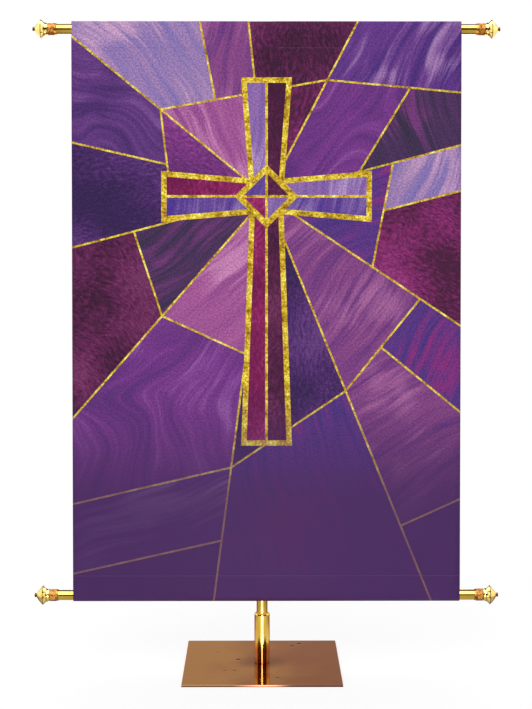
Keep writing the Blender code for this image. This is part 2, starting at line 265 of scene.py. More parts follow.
tube_brass = polished_brass("brass_tube_polished_lacquered", BRASS, BRASS_DEEP, 0.10)
top = socket_high.z
lip_radius = SOCKET_RADIUS - SOCKET_LIP_DRAW
foot_radius = SOCKET_RADIUS - SOCKET_FOOT_DRAW
foot_top = socket_low.z + SOCKET_FOOT_HEIGHT
section = [(SOCKET_BORE, socket_low.z), (foot_radius, socket_low.z), (foot_radius, foot_top)]
section += [(SOCKET_RADIUS, foot_top)]
section += [(SOCKET_RADIUS, top - SOCKET_LIP_HEIGHT - 0.0004), (SOCKET_RADIUS, top - SOCKET_LIP_HEIGHT)]
section += corner_arc((lip_radius - SOCKET_RIM, top - SOCKET_RIM), SOCKET_RIM, 12, 90)
section += corner_arc((SOCKET_BORE + SOCKET_RIM, top - SOCKET_RIM), SOCKET_RIM, 90, 180, 3)
shape = turned(section)
bmesh.ops.translate(shape, verts=shape.verts, vec=(STAND_X, 0, 0))
socket = new_piece("brass_socket", shape, brass_with_painted_plate_reflection())
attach(socket, "stand_base")
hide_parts("socket_tube")


# Pole: drawn brass tube, cut square, with its ends lightly broken. It stands loose in the socket.
POLE_WALL = 0.0015
END_BREAK = 0.0003


def tube_section(radius, wall, low, high):
    """Section of a tube with lightly broken outer edges."""
    return [
        (radius - wall, low), (radius - END_BREAK, low), (radius, low + END_BREAK),
        (radius, high - END_BREAK), (radius - END_BREAK, high), (radius - wall, high),
    ]


shape = turned(tube_section(POLE_RADIUS, POLE_WALL, pole_low.z, pole_high.z))
bmesh.ops.translate(shape, verts=shape.verts, vec=(STAND_X, 0, 0))
pole = new_piece("brass_pole", shape, tube_brass)
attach(pole, "banner")
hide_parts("pole")


# Cradle: one brass casting, hidden behind the cloth. Its cap fits over the pole's end, its half-round saddle
# holds the top rod, and a small web ties the two together.
rod_low, rod_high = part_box("top_rod")
cradle_low, cradle_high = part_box("cradle")
ROD_RADIUS = (rod_high.z - rod_low.z) / 2
ROD_Y = (rod_low.y + rod_high.y) / 2
TOP_ROD_Z = (rod_low.z + rod_high.z) / 2
SEAT_GAP = 0.0003
CAP_RADIUS = cradle_high.y
CAP_TOP = pole_high.z + SEAT_GAP + 0.0022
CAP_HEIGHT = 0.016
CAP_EDGE = 0.0008
SADDLE_WALL = 0.0025
SADDLE_HALF_WIDTH = (cradle_high.x - cradle_low.x) / 2
SADDLE_DEGREES = (35, -115)
WEB_HALF_WIDTH = 0.005
WEB_HEIGHT = 0.003

section = [(0.0, pole_high.z + SEAT_GAP), (POLE_RADIUS + SEAT_GAP, pole_high.z + SEAT_GAP)]
section += [(POLE_RADIUS + SEAT_GAP, CAP_TOP - CAP_HEIGHT), (CAP_RADIUS, CAP_TOP - CAP_HEIGHT)]
section += corner_arc((CAP_RADIUS - CAP_EDGE, CAP_TOP - CAP_EDGE), CAP_EDGE, 0, 90, 4) + [(0.0, CAP_TOP)]
shape = turned(section)
bmesh.ops.translate(shape, verts=shape.verts, vec=(STAND_X, 0, 0))
cradle = new_piece("brass_cradle", shape, tube_brass)


def extruded(outline, half_width):
    """A closed outline of (y, z) points, drawn out along X on both sides of the stand's axis."""
    shape = bmesh.new()
    side = shape.faces.new([shape.verts.new((STAND_X - half_width, y, z)) for y, z in outline])
    swept = bmesh.ops.extrude_face_region(shape, geom=[side])["geom"]
    moved = [item for item in swept if isinstance(item, bmesh.types.BMVert)]
    bmesh.ops.translate(shape, verts=moved, vec=(2 * half_width, 0, 0))
    bmesh.ops.recalc_face_normals(shape, faces=shape.faces)
    return shape


inside = corner_arc((ROD_Y, TOP_ROD_Z), ROD_RADIUS + SEAT_GAP, *SADDLE_DEGREES, 30)
outside = corner_arc((ROD_Y, TOP_ROD_Z), ROD_RADIUS + SEAT_GAP + SADDLE_WALL, *SADDLE_DEGREES[::-1], 30)
web_top = TOP_ROD_Z - ROD_RADIUS - SEAT_GAP - SADDLE_WALL / 2
web_back = -(CAP_RADIUS + POLE_RADIUS) / 2
web_front = ROD_Y + SADDLE_WALL / 2
web_foot = web_top - WEB_HEIGHT
web = [(web_front, web_top), (web_back, web_top), (web_back, web_foot), (web_front, web_foot)]
for extra_shape in (extruded(inside + outside, SADDLE_HALF_WIDTH), extruded(web, WEB_HALF_WIDTH)):
    extra = new_piece("cradle_part", extra_shape, tube_brass)
    union = cradle.modifiers.new("cast together", "BOOLEAN")
    union.operation = "UNION"
    union.object = extra
    make_plain(cradle)
    bpy.data.objects.remove(extra, do_unlink=True)
cradle.data.set_sharp_from_angle(angle=math.radians(35))
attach(cradle, "banner")
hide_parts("cradle")


# Rods: two lengths of the same drawn tube, which lie in the cloth's pockets and stick out at both sides.
bottom_low, bottom_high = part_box("bottom_rod")
BOTTOM_ROD_Z = (bottom_low.z + bottom_high.z) / 2
ROD_END_X = rod_high.x
ROD_WALL = 0.0012
rod_brass = polished_brass("brass_rod_polished_lacquered", BRASS, BRASS_DEEP, 0.09)


def lay_along_rod(direction, start_x, height):
    """Matrix that lays a piece turned about Z along a rod, pointing left (-1) or right (1)."""
    turn = Matrix.Rotation(math.radians(90 * direction), 4, "Y")
    return Matrix.Translation((start_x, ROD_Y, height)) @ turn


for level, height in (("top", TOP_ROD_Z), ("bottom", BOTTOM_ROD_Z)):
    shape = turned(tube_section(ROD_RADIUS, ROD_WALL, -ROD_END_X, ROD_END_X))
    bmesh.ops.transform(shape, matrix=lay_along_rod(1, 0.0, height), verts=shape.verts)
    rod = new_piece(f"brass_rod_{level}", shape, rod_brass)
    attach(rod, "banner")
    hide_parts(f"{level}_rod")


# Ferrules: turned brass rings pressed over the rods' ends, with a tapered lip, three beads and a straight
# knurl between them. They are dipped in an orange lacquer, which pools between the ribs.
FERRULE_LENGTH = 0.0143
FERRULE_RADIUS = 0.0094
FERRULE_LIP_RADIUS = 0.0086
FERRULE_TAPER = 0.0034
BEAD = 0.0011
KNURL_DEPTH = 0.0004
KNURL_RIBS = 44
FERRULE_BRASS = ("#aa7230", "#7c421a")
FERRULE_BLOTCH = "#ba9044"
# Millimetres across a pool of the lacquer
FERRULE_POOL = 3.85


def lacquered_ferrule():
    """Brass under orange lacquer, blotchy where the dip pooled, so its gloss is softer than the rods'."""
    material, tree, shader = new_material("brass_ferrule_orange_lacquer")
    place = add_node(tree, "ShaderNodeTexCoord", {}).outputs["Object"]
    pools = add_node(tree, "ShaderNodeTexNoise", {"Vector": place, "Scale": 1000 / FERRULE_POOL, "Detail": 3.0})
    ramp = add_node(tree, "ShaderNodeValToRGB", [pools])
    stops = ramp.color_ramp.elements
    stops[0].position, stops[0].color = 0.34, srgb(FERRULE_BRASS[1])
    stops[1].position, stops[1].color = 0.5, srgb(FERRULE_BRASS[0])
    stops.new(0.66).color = srgb(FERRULE_BLOTCH)
    fill_inputs(shader, {
        "Base Color": ramp, "Metallic": 1.0, "Roughness": 0.36, "Coat Weight": 0.2, "Coat Roughness": 0.12,
    })
    return material


def new_tree(name, inputs):
    """A Geometry Nodes tree with named inputs, and the node that hands them on."""
    tree = bpy.data.node_groups.new(name, "GeometryNodeTree")
    for label, kind in (("Geometry", "Geometry"), *inputs):
        tree.interface.new_socket(label, in_out="INPUT", socket_type=f"NodeSocket{kind}")
    tree.interface.new_socket("Geometry", in_out="OUTPUT", socket_type="NodeSocketGeometry")
    return tree, add_node(tree, "NodeGroupInput", {})


def close_tree(tree, made, material):
    """End a tree: its instances become real faces, get their material and go out."""
    solid = add_node(tree, "GeometryNodeRealizeInstances", {"Geometry": made})
    finished = add_node(tree, "GeometryNodeSetMaterial", {"Geometry": solid, "Material": material})
    add_node(tree, "NodeGroupOutput", [finished])


def knurl_tree(material):
    """Geometry Nodes: rounded ribs set round a barrel whose axis is Z, added to the turned ring."""
    tree, given = new_tree("straight knurl", (
        ("Ribs", "Int"), ("Barrel Radius", "Float"), ("Rib Radius", "Float"), ("Rib Length", "Float"),
        ("Middle Height", "Float"),
    ))
    middle = add_node(tree, "ShaderNodeCombineXYZ", {"Z": given.outputs["Middle Height"]})
    ring = add_node(tree, "GeometryNodeMeshCircle", {
        "Vertices": given.outputs["Ribs"], "Radius": given.outputs["Barrel Radius"],
    })
    raised = add_node(tree, "GeometryNodeTransform", {"Geometry": ring, "Translation": middle})
    rib = add_node(tree, "GeometryNodeMeshCylinder", {
        "Vertices": 8, "Radius": given.outputs["Rib Radius"], "Depth": given.outputs["Rib Length"],
    })
    ribs = add_node(tree, "GeometryNodeInstanceOnPoints", {"Points": raised, "Instance": rib})
    joined = add_node(tree, "GeometryNodeJoinGeometry", {})
    fill_inputs(joined, [ribs])
    fill_inputs(joined, [given])
    close_tree(tree, joined, material)
    return tree


def set_inputs(modifier, values):
    """Give a Geometry Nodes modifier its values, each by its socket's identifier."""
    for item in modifier.node_group.interface.items_tree:
        if item.item_type == "SOCKET" and item.in_out == "INPUT" and item.name in values:
            modifier[item.identifier] = values[item.name]


ferrule_brass = lacquered_ferrule()
knurl = knurl_tree(ferrule_brass)
barrel = FERRULE_RADIUS - KNURL_DEPTH
bore = ROD_RADIUS + SEAT_GAP
first_bead = FERRULE_TAPER + BEAD / 2
last_bead = FERRULE_LENGTH - BEAD / 2
section = [(bore, 0.0), (FERRULE_LIP_RADIUS, 0.0), (barrel, FERRULE_TAPER - BEAD / 4)]
section += corner_arc((FERRULE_RADIUS - BEAD / 2, first_bead), BEAD / 2, -60, 60)
middle_bead = (first_bead + last_bead) / 2
section += [(barrel, first_bead + BEAD / 2), (barrel, middle_bead - BEAD / 2)]
section += corner_arc((FERRULE_RADIUS - BEAD / 2, middle_bead), BEAD / 2, -60, 60)
section += [(barrel, middle_bead + BEAD / 2), (barrel, last_bead - BEAD / 2)]
section += corner_arc((FERRULE_RADIUS - BEAD / 2, last_bead), BEAD / 2, -60, 80)
section += [(bore, FERRULE_LENGTH)]
for level, height in (("top", TOP_ROD_Z), ("bottom", BOTTOM_ROD_Z)):
    for side, direction in (("left", -1), ("right", 1)):
        ferrule = new_piece(f"knurled_ferrule_{level}_{side}", turned(section), ferrule_brass)
        ribs = ferrule.modifiers.new("knurl", "NODES")
        ribs.node_group = knurl
        set_inputs(ribs, {
            "Ribs": KNURL_RIBS, "Barrel Radius": barrel, "Rib Radius": KNURL_DEPTH,
            "Rib Length": last_bead - first_bead - BEAD, "Middle Height": middle_bead,
        })
        make_plain(ferrule)
        ferrule.data.transform(lay_along_rod(direction, direction * (ROD_END_X - FERRULE_LENGTH), height))
        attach(ferrule, "banner")
        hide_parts(f"ferrule_{level}_{side}")


# Finials: cast and turned brass ends with a spigot in the rod. A round shoulder swells out of the neck to a
# fine groove, a hollow flare runs on to a sharp rim, and a full, rounded cone closes it, with a small knob at
# its tip. The knob has darkened with handling, and old polish has darkened the groove and the back of the
# rim.
finial_low, finial_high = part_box("finial_top_right")
FINIAL_LENGTH = finial_high.x - ROD_END_X - SEAT_GAP
FINIAL_RIM_RADIUS = (finial_high.z - finial_low.z) / 2
FINIAL_NECK_RADIUS = 0.0084
FINIAL_SHOULDER_RADIUS = 0.0103
FINIAL_GROOVE_AT = 0.0046
FINIAL_GROOVE = 0.0004
FINIAL_RIM_AT = 0.0102
FINIAL_CROWN = 0.0010
KNOB_AT = 0.0206
KNOB_RADIUS = 0.0032
KNOB_ROUND = 0.0010
SPIGOT_LENGTH = 0.015
FINIAL_TARNISH = "#4a3820"
KNOB_TARNISH_EDGE = 0.0006
# Where each dark line lies on the finial, and its half width
TARNISH_LINES = ((FINIAL_GROOVE_AT, 0.0007), (FINIAL_RIM_AT - FINIAL_GROOVE, 0.0008))


def finial_brass():
    """Polished cast brass, paler than the tube, with tarnish on the knob, in the groove and behind the
    rim."""
    material = polished_brass("brass_finial_polished_cast", "#f0d67e", "#dcb658", 0.07)
    tree = material.node_tree
    shader = tree.nodes["Principled BSDF"]
    polished = shader.inputs["Base Color"].links[0].from_socket
    place = add_node(tree, "ShaderNodeTexCoord", {}).outputs["Object"]
    across = add_node(tree, "ShaderNodeSeparateXYZ", [place])
    across = add_node(tree, "ShaderNodeMath", [across], operation="ABSOLUTE")
    outwards = add_node(tree, "ShaderNodeMath", [across, ROD_END_X + SEAT_GAP], operation="SUBTRACT")
    knob = [outwards, KNOB_AT - KNOB_TARNISH_EDGE, KNOB_AT + KNOB_TARNISH_EDGE]
    dark = add_node(tree, "ShaderNodeMapRange", knob, interpolation_type="SMOOTHSTEP")
    for line_at, half_width in TARNISH_LINES:
        away = add_node(tree, "ShaderNodeMath", [outwards, line_at], operation="SUBTRACT")
        away = add_node(tree, "ShaderNodeMath", [away], operation="ABSOLUTE")
        slope = [away, half_width / 2, half_width, 0.85, 0.0]
        line = add_node(tree, "ShaderNodeMapRange", slope, interpolation_type="SMOOTHSTEP")
        dark = add_node(tree, "ShaderNodeMath", [dark, line], operation="MAXIMUM")
    worn = add_node(tree, "ShaderNodeMix", [dark, polished, srgb(FINIAL_TARNISH)], data_type="RGBA")
    fill_inputs(shader, {"Base Color": worn})
    return material


def finial_section():
    """Spigot, neck, shoulder, groove, flare, rim, cone and knob, from the rod outwards."""
    spigot = ROD_RADIUS - ROD_WALL - SEAT_GAP
    section = [(0.0, -SPIGOT_LENGTH), (spigot, -SPIGOT_LENGTH), (spigot, 0.0), (FINIAL_NECK_RADIUS, 0.0)]
    swell_steps = 10
    for step in range(1, swell_steps + 1):
        along = step / swell_steps
        swell = (FINIAL_SHOULDER_RADIUS - FINIAL_NECK_RADIUS) * math.sin(math.pi / 2 * along)
        section.append((FINIAL_NECK_RADIUS + swell, (FINIAL_GROOVE_AT - FINIAL_GROOVE) * along))
    section.append((FINIAL_SHOULDER_RADIUS - FINIAL_GROOVE, FINIAL_GROOVE_AT))
    flare_steps = 10
    for step in range(flare_steps + 1):
        along = step / flare_steps
        radius = FINIAL_SHOULDER_RADIUS + (FINIAL_RIM_RADIUS - FINIAL_SHOULDER_RADIUS) * along**1.15
        start_at = FINIAL_GROOVE_AT + FINIAL_GROOVE
        section.append((radius, start_at + (FINIAL_RIM_AT - start_at) * along))
    groove = 0.8 * KNOB_RADIUS
    cone_steps = 14
    for step in range(1, cone_steps + 1):
        along = step / cone_steps
        radius = FINIAL_RIM_RADIUS + (groove - FINIAL_RIM_RADIUS) * along
        radius += FINIAL_CROWN * math.sin(math.pi * along)
        section.append((radius, FINIAL_RIM_AT + (KNOB_AT - FINIAL_RIM_AT) * along))
    section.append((KNOB_RADIUS, KNOB_AT + 0.4 * KNOB_ROUND))
    section += corner_arc((KNOB_RADIUS - KNOB_ROUND, FINIAL_LENGTH - KNOB_ROUND), KNOB_ROUND, 0, 80)
    return section + [(0.0, FINIAL_LENGTH)]


cast_brass = finial_brass()
for level, height in (("top", TOP_ROD_Z), ("bottom", BOTTOM_ROD_Z)):
    for side, direction in (("left", -1), ("right", 1)):
        shape = turned(finial_section(), steps=120)
        place = lay_along_rod(direction, direction * (ROD_END_X + SEAT_GAP), height)
        bmesh.ops.transform(shape, matrix=place, verts=shape.verts)
        finial = new_piece(f"turned_finial_{level}_{side}", shape, cast_brass, 50)
        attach(finial, "banner")
        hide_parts(f"finial_{level}_{side}")


# Banner cloth: one length of close-woven polyester, printed flat, hot-cut at its sides, and folded over each
# rod into a sewn pocket. The top pocket's back layer is notched, where the cradle reaches in to hold the rod.
# The print is laid out here on the flat cloth, in millimetres from its middle and from its lower edge.
cloth_low, cloth_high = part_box("banner_cloth")
CLOTH_HALF = cloth_high.x
CAD_THICKNESS = 0.0012
THICKNESS = 0.0010
SLACK = 0.0006
LAYER_MIDDLE = ROD_RADIUS + SLACK + CAD_THICKNESS / 2
FRONT_Y = ROD_Y - LAYER_MIDDLE
POCKET_DEPTH = 0.042
POCKET_SAG = 0.0012
HEM_TAIL = 0.007
CREASE_BACK = 0.0030
UNEVENNESS = 0.0008
NOTCH_HALF = 0.022
TOP_SEAM = cloth_high.z - POCKET_DEPTH
BOTTOM_SEAM = cloth_low.z + POCKET_DEPTH
LEAD_WIDTH = 3.0

# Three tones and a texture for each kind of printed glass
GLASS = {
    "soft violet": ("wispy", "#623478", "#824480", "#a6669a"),
    "lavender cloud": ("wispy", "#7a6cac", "#987aac", "#c89ec0"),
    "pale rose": ("wispy", "#8a4888", "#a05692", "#c484b2"),
    "blue violet": ("wispy", "#443078", "#5c3480", "#902870"),
    "frosted violet": ("wispy", "#462a72", "#643884", "#aa82b6"),
    "dusk": ("wispy", "#322a42", "#4a2f58", "#763878"),
    "swirled purple": ("swirled", "#5a2e74", "#733684", "#9058a0"),
    "swirled violet": ("swirled", "#482a66", "#643a7e", "#8c609c"),
    "hammered plum": ("hammered", "#461c3a", "#802868", "#9c4280"),
    "hammered maroon": ("hammered", "#34162e", "#602250", "#7a3a68"),
    "hammered indigo": ("hammered", "#321f4c", "#4e2b68", "#6c4482"),
    "hammered orchid": ("hammered", "#5c2a68", "#843886", "#a0589a"),
    "cross magenta": ("hammered", "#681448", "#8e2460", "#b04a80"),
    "cross wine": ("hammered", "#3e1634", "#5a2048", "#7a3c62"),
    "cross violet": ("wispy", "#48308a", "#644690", "#8e74b4"),
    "cross lavender": ("wispy", "#74569c", "#8c68a8", "#b498c8"),
}

# Lead lines, from one point to another. Each ends on a line above it in the list, or past the cloth's edge.
LEAD_LINES = (
    ((-330, 553), (330, 727)),
    ((0, 640), (183, 990)),
    ((0, 640), (-36, 990)),
    ((0, 640), (-330, 911)),
    ((0, 640), (-330, 262)),
    ((0, 640), (-94, -80)),
    ((0, 640), (293, -80)),
    ((0, 640), (330, 420)),
    ((-166, 776), (95, 822)),
    ((95, 822), (330, 800)),
    ((145, 678), (225, 810)),
    ((198, 692), (166, 529)),
    ((184, 618), (330, 655)),
    ((241, 479), (124, 334)),
    ((180, 403), (330, 280)),
    ((124, 334), (-55.6, 213.6)),
    ((-32, 392), (-164, 452)),
    ((-55.6, 213.6), (-330, 150)),
    ((-164, 452), (-208, 585)),
    ((-145, 602), (-166, 776)),
    ((-155.7, 690), (-330, 730)),
    ((-80, 791), (-120, 990)),
    ((-330, 40), (-70.6, 98)),
    ((211, 121), (330, 175)),
)

# What each piece of glass is: its kind, a point inside it, and which way its streaks run, in degrees
PANES = (
    ("frosted violet", (205, 860), 62),
    ("hammered maroon", (50, 880), 100),
    ("soft violet", (-70, 880), 80),
    ("lavender cloud", (-170, 860), 130),
    ("hammered plum", (30, 760), 70),
    ("swirled purple", (150, 770), 40),
    ("dusk", (270, 760), 110),
    ("pale rose", (-60, 730), 120),
    ("hammered orchid", (-120, 690), 150),
    ("swirled violet", (-240, 770), 165),
    ("hammered indigo", (-240, 650), 10),
    ("blue violet", (120, 620), 20),
    ("lavender cloud", (260, 670), 75),
    ("hammered plum", (260, 570), 160),
    ("soft violet", (110, 500), 55),
    ("blue violet", (280, 400), 60),
    ("hammered indigo", (20, 420), 90),
    ("pale rose", (-70, 510), 40),
    ("swirled purple", (-150, 330), 60),
    ("dusk", (-120, 540), 30),
    ("hammered maroon", (-260, 480), 140),
    ("frosted violet", (-200, 130), 15),
    ("hammered indigo", (-250, 20), 0),
    ("blue violet", (60, 120), 105),
    ("soft violet", (230, 220), 35),
    ("swirled violet", (290, 60), 75),
)

# The Latin cross: a foil border round glass that a foil line splits along each arm, with a lozenge at the
# crossing
CROSS_MIDDLE = 640.0
CROSS_WAIST = 26.0
CROSS_FLARE = 40.0
FOIL_BORDER = 8.5
FOIL_SPLIT = 4.0
LOZENGE = 50.0
LOZENGE_GLASS = 37.0
# Each arm: its direction from the middle, its length, and the glass on its left and on its right
CROSS_ARMS = (
    ((0, 1), 186.0, "cross lavender", "cross wine"),
    ((0, -1), 392.0, "cross wine", "cross magenta"),
    ((-1, 0), 165.0, "cross violet", "cross magenta"),
    ((1, 0), 165.0, "cross lavender", "cross violet"),
)
LOZENGE_GLASSES = ("cross magenta", "cross lavender", "cross violet", "cross wine")


def arm_place(arm, x, height):
    """A point as seen from one arm: how far out along it, how far to its left, and the arm's half width
    there."""
    (right, up), length = arm[:2]
    outwards = x * right + (height - CROSS_MIDDLE) * up
    leftwards = -x * up + (height - CROSS_MIDDLE) * right
    half_width = CROSS_WAIST + (CROSS_FLARE - CROSS_WAIST) * outwards / length
    return outwards, leftwards, half_width


def cross_print(x, height):
    """What the cross prints at a point: a kind of glass, "foil", or nothing outside it."""
    diamond = abs(x) + abs(height - CROSS_MIDDLE)
    if diamond < LOZENGE:
        on_split = min(abs(x), abs(height - CROSS_MIDDLE)) < FOIL_SPLIT / 2
        if diamond > LOZENGE_GLASS or on_split:
            return "foil"
        return LOZENGE_GLASSES[(x > 0) + 2 * (height > CROSS_MIDDLE)]
    found = None
    for arm in CROSS_ARMS:
        outwards, leftwards, half_width = arm_place(arm, x, height)
        if not (0 <= outwards < arm[1] and abs(leftwards) < half_width):
            continue
        in_border = half_width - abs(leftwards) < FOIL_BORDER or arm[1] - outwards < FOIL_BORDER
        if in_border or abs(leftwards) < FOIL_SPLIT / 2:
            found = found or "foil"
        else:
            return arm[2] if leftwards > 0 else arm[3]
    return found


def cross_cuts():
    """The straight edges between the cross's glass and foil, as pairs of points."""
    cuts = []
    for (right, up), length, _, _ in CROSS_ARMS:
        def at(outwards, leftwards):
            return (outwards * right - leftwards * up, CROSS_MIDDLE + outwards * up + leftwards * right)
        for side in (-1, 1):
            for inset in (0.0, FOIL_BORDER):
                cuts.append((at(0, side * (CROSS_WAIST - inset)), at(length, side * (CROSS_FLARE - inset))))
            cuts.append((at(0, side * FOIL_SPLIT / 2), at(length - FOIL_BORDER, side * FOIL_SPLIT / 2)))
        cuts.append((at(length, -CROSS_FLARE), at(length, CROSS_FLARE)))
        cuts.append((at(length - FOIL_BORDER, -CROSS_FLARE), at(length - FOIL_BORDER, CROSS_FLARE)))
    for reach in (LOZENGE, LOZENGE_GLASS):
        tips = [(reach, CROSS_MIDDLE), (0, CROSS_MIDDLE + reach)]
        tips += [(-reach, CROSS_MIDDLE), (0, CROSS_MIDDLE - reach)]
        cuts += list(zip(tips, tips[1:] + tips[:1]))
    return cuts


def crossed_by(face, start, end):
    """True where a cut runs through the inside of a flat face and not just along its edge."""
    low, high = 0.0, 1.0
    run = end - start
    middle = face.calc_center_median()
    for loop in face.loops:
        a, b = loop.vert.co, loop.link_loop_next.vert.co
        inwards = Vector((a.y - b.y, b.x - a.x, 0))
        if inwards.dot(middle - a) < 0:
            inwards.negate()
        if inwards.length == 0:
            continue
        inwards.normalize()
        there, slope = inwards.dot(start - a), inwards.dot(run)
        if abs(slope) < 1e-9:
            if there < 1e-6:
                return False
        elif slope > 0:
            low = max(low, -there / slope)
        else:
            high = min(high, -there / slope)
    return (high - low) * run.length > 0.0006


def cut_sheet(shape, start_mm, end_mm, shift_mm=0.0, extra_mm=0.0):
    """Cut the faces that a straight line passes through. The line may be shifted sideways and lengthened."""
    start, end = (Vector((point[0], point[1], 0)) / 1000 for point in (start_mm, end_mm))
    along = (end - start).normalized()
    across = Vector((-along.y, along.x, 0))
    start, end = start - along * extra_mm / 1000, end + along * extra_mm / 1000
    start, end = start + across * shift_mm / 1000, end + across * shift_mm / 1000
    faces = [face for face in shape.faces if crossed_by(face, start, end)]
    edges = {edge for face in faces for edge in face.edges}
    points = {point for face in faces for point in face.verts}
    bmesh.ops.bisect_plane(
        shape, geom=faces + list(edges) + list(points), dist=1e-7, plane_co=start, plane_no=across
    )


def on_lead(x, height):
    """True where a point lies on one of the lead lines."""
    for (ax, ay), (bx, by) in LEAD_LINES:
        run = Vector((bx - ax, by - ay))
        from_start = Vector((x - ax, height - ay))
        share = max(0.0, min(1.0, from_start.dot(run) / run.length_squared))
        if (from_start - run * share).length < LEAD_WIDTH / 2:
            return True
    return False


def cloth_path():
    """The cloth's middle line in the side view, from the top hem's end over the top rod, down the front and
    round the bottom rod to the bottom hem's end, as (y, z)."""
    crease = (FRONT_Y + CREASE_BACK, cloth_high.z - CAD_THICKNESS / 2)
    away = Vector(crease) - Vector((ROD_Y, TOP_ROD_Z))
    touch = math.degrees(math.atan2(away.y, away.x) - math.acos(LAYER_MIDDLE / away.length))
    sheet_back = FRONT_Y + CAD_THICKNESS

    def pocket(centre_z, start_degrees, leave_degrees, seam, tail):
        points = corner_arc((ROD_Y, centre_z), LAYER_MIDDLE, start_degrees, leave_degrees, 12)
        leave_y, leave_z = points[-1]
        for step in range(1, 8):
            along = step / 8
            sag = POCKET_SAG * math.sin(math.pi * along)
            y = leave_y + (sheet_back - leave_y) * along - sag
            points.append((y, leave_z + (seam - leave_z) * along))
        return points + [(sheet_back, seam), (sheet_back, seam + tail)]

    path = pocket(TOP_ROD_Z, touch, -35, TOP_SEAM, -HEM_TAIL)[::-1] + [crease]
    row_count = 84
    face_top, face_bottom = TOP_ROD_Z + ROD_RADIUS / 2, BOTTOM_ROD_Z
    for row in range(row_count):
        path.append((FRONT_Y, face_top + (face_bottom - face_top) * row / row_count))
    path += corner_arc((ROD_Y, BOTTOM_ROD_Z), LAYER_MIDDLE, 180, 330, 14)
    return path + pocket(BOTTOM_ROD_Z, -30, 35, BOTTOM_SEAM, HEM_TAIL)[1:]


def unevenness(x, z):
    """Slow waves across the open face that die away at the two rods."""
    along = (z - BOTTOM_ROD_Z) / (TOP_ROD_Z - BOTTOM_ROD_Z)
    if not 0.0 < along < 1.0:
        return 0.0
    across = x - STAND_X
    wave = math.sin(7.3 * across + 5.1 * along) + 0.6 * math.sin(17.0 * across - 8.0 * along + 1.0)
    return UNEVENNESS * math.sin(math.pi * along) ** 2 * wave


path = cloth_path()
lengths = [0.0]
for before, after in zip(path, path[1:]):
    lengths.append(lengths[-1] + math.dist(before, after))
crease_z = cloth_high.z - CAD_THICKNESS / 2
crease_row = next(i for i, point in enumerate(path) if abs(point[1] - crease_z) < 1e-9)
level_row = crease_row + 2
# Heights on the flat cloth, above its lower edge. Past the top crease they go on up, and under the bottom rod
# down.
flat_heights = [path[level_row][1] - cloth_low.z + lengths[level_row] - length for length in lengths]
crease_height = flat_heights[crease_row]

shape = bmesh.new()
outline = [(-CLOTH_HALF, flat_heights[-1]), (CLOTH_HALF, flat_heights[-1]), (CLOTH_HALF, flat_heights[0])]
outline.append((-CLOTH_HALF, flat_heights[0]))
shape.faces.new([shape.verts.new((x, height, 0)) for x, height in outline])
for start, end in LEAD_LINES:
    cut_sheet(shape, start, end)
pane_of_face = shape.faces.layers.int.new("pane")
for index, (_, spot, _) in enumerate(PANES):
    inside = Vector((spot[0] / 1000, spot[1] / 1000, 0))
    for face in shape.faces:
        if bmesh.geometry.intersect_face_point(face, inside):
            face[pane_of_face] = index
for start, end in LEAD_LINES:
    for side in (-0.5, 0.5):
        cut_sheet(shape, start, end, side * LEAD_WIDTH, LEAD_WIDTH)
for start, end in cross_cuts():
    cut_sheet(shape, start, end)


def cut_all(shape, where, normal):
    """Cut the whole flat sheet along a plane."""
    everything = shape.verts[:] + shape.edges[:] + shape.faces[:]
    bmesh.ops.bisect_plane(shape, geom=everything, dist=1e-7, plane_co=where, plane_no=normal)


for height in flat_heights[1:-1]:
    cut_all(shape, (0, height, 0), (0, 1, 0))
notch = (STAND_X - NOTCH_HALF, STAND_X + NOTCH_HALF)
column_count = 60
columns = [-CLOTH_HALF + 2 * CLOTH_HALF * column / column_count for column in range(1, column_count)]
for x in columns + list(notch):
    cut_all(shape, (x, 0, 0), (1, 0, 0))
bmesh.ops.remove_doubles(shape, verts=shape.verts, dist=2e-5)
cut_out = [
    face for face in shape.faces
    if notch[0] < face.calc_center_median().x < notch[1] and face.calc_center_median().y > crease_height
]
bmesh.ops.delete(shape, geom=cut_out, context="FACES")

# Label each face from what is printed there, then fold the flat cloth along its path
TEXTURES = ("wispy", "hammered", "swirled", "foil")
PANE_DRIFT = (0.61, 0.37)
kinds = []
sheet_map = shape.loops.layers.uv.new("sheet")
glass_map = shape.loops.layers.uv.new("glass")
shape.faces.ensure_lookup_table()
for face in shape.faces:
    middle = face.calc_center_median() * 1000
    kind = cross_print(middle.x, middle.y)
    streak_degrees, pane = 80, len(PANES)
    if kind is None:
        pane = face[pane_of_face]
        kind, _, streak_degrees = PANES[pane]
        if on_lead(middle.x, middle.y):
            kind = "foil"
    kinds.append(kind)
    face.material_index = TEXTURES.index(GLASS[kind][0] if kind in GLASS else kind)
    turn = Matrix.Rotation(math.radians(-streak_degrees), 2)
    drift = Vector((PANE_DRIFT[0] * pane, PANE_DRIFT[1] * len(kind)))
    for loop in face.loops:
        flat = loop.vert.co.xy
        loop[sheet_map].uv = flat
        loop[glass_map].uv = turn @ flat + drift
for point in shape.verts:
    x, height = point.co.x, point.co.y
    row = max(i for i in range(len(path) - 1) if flat_heights[i] >= height - 1e-6)
    share = (flat_heights[row] - height) / (flat_heights[row] - flat_heights[row + 1])
    y = path[row][0] + (path[row + 1][0] - path[row][0]) * share
    z = path[row][1] + (path[row + 1][1] - path[row][1]) * share
    point.co = (x, y + unevenness(x, z), z)
shape.normal_update()


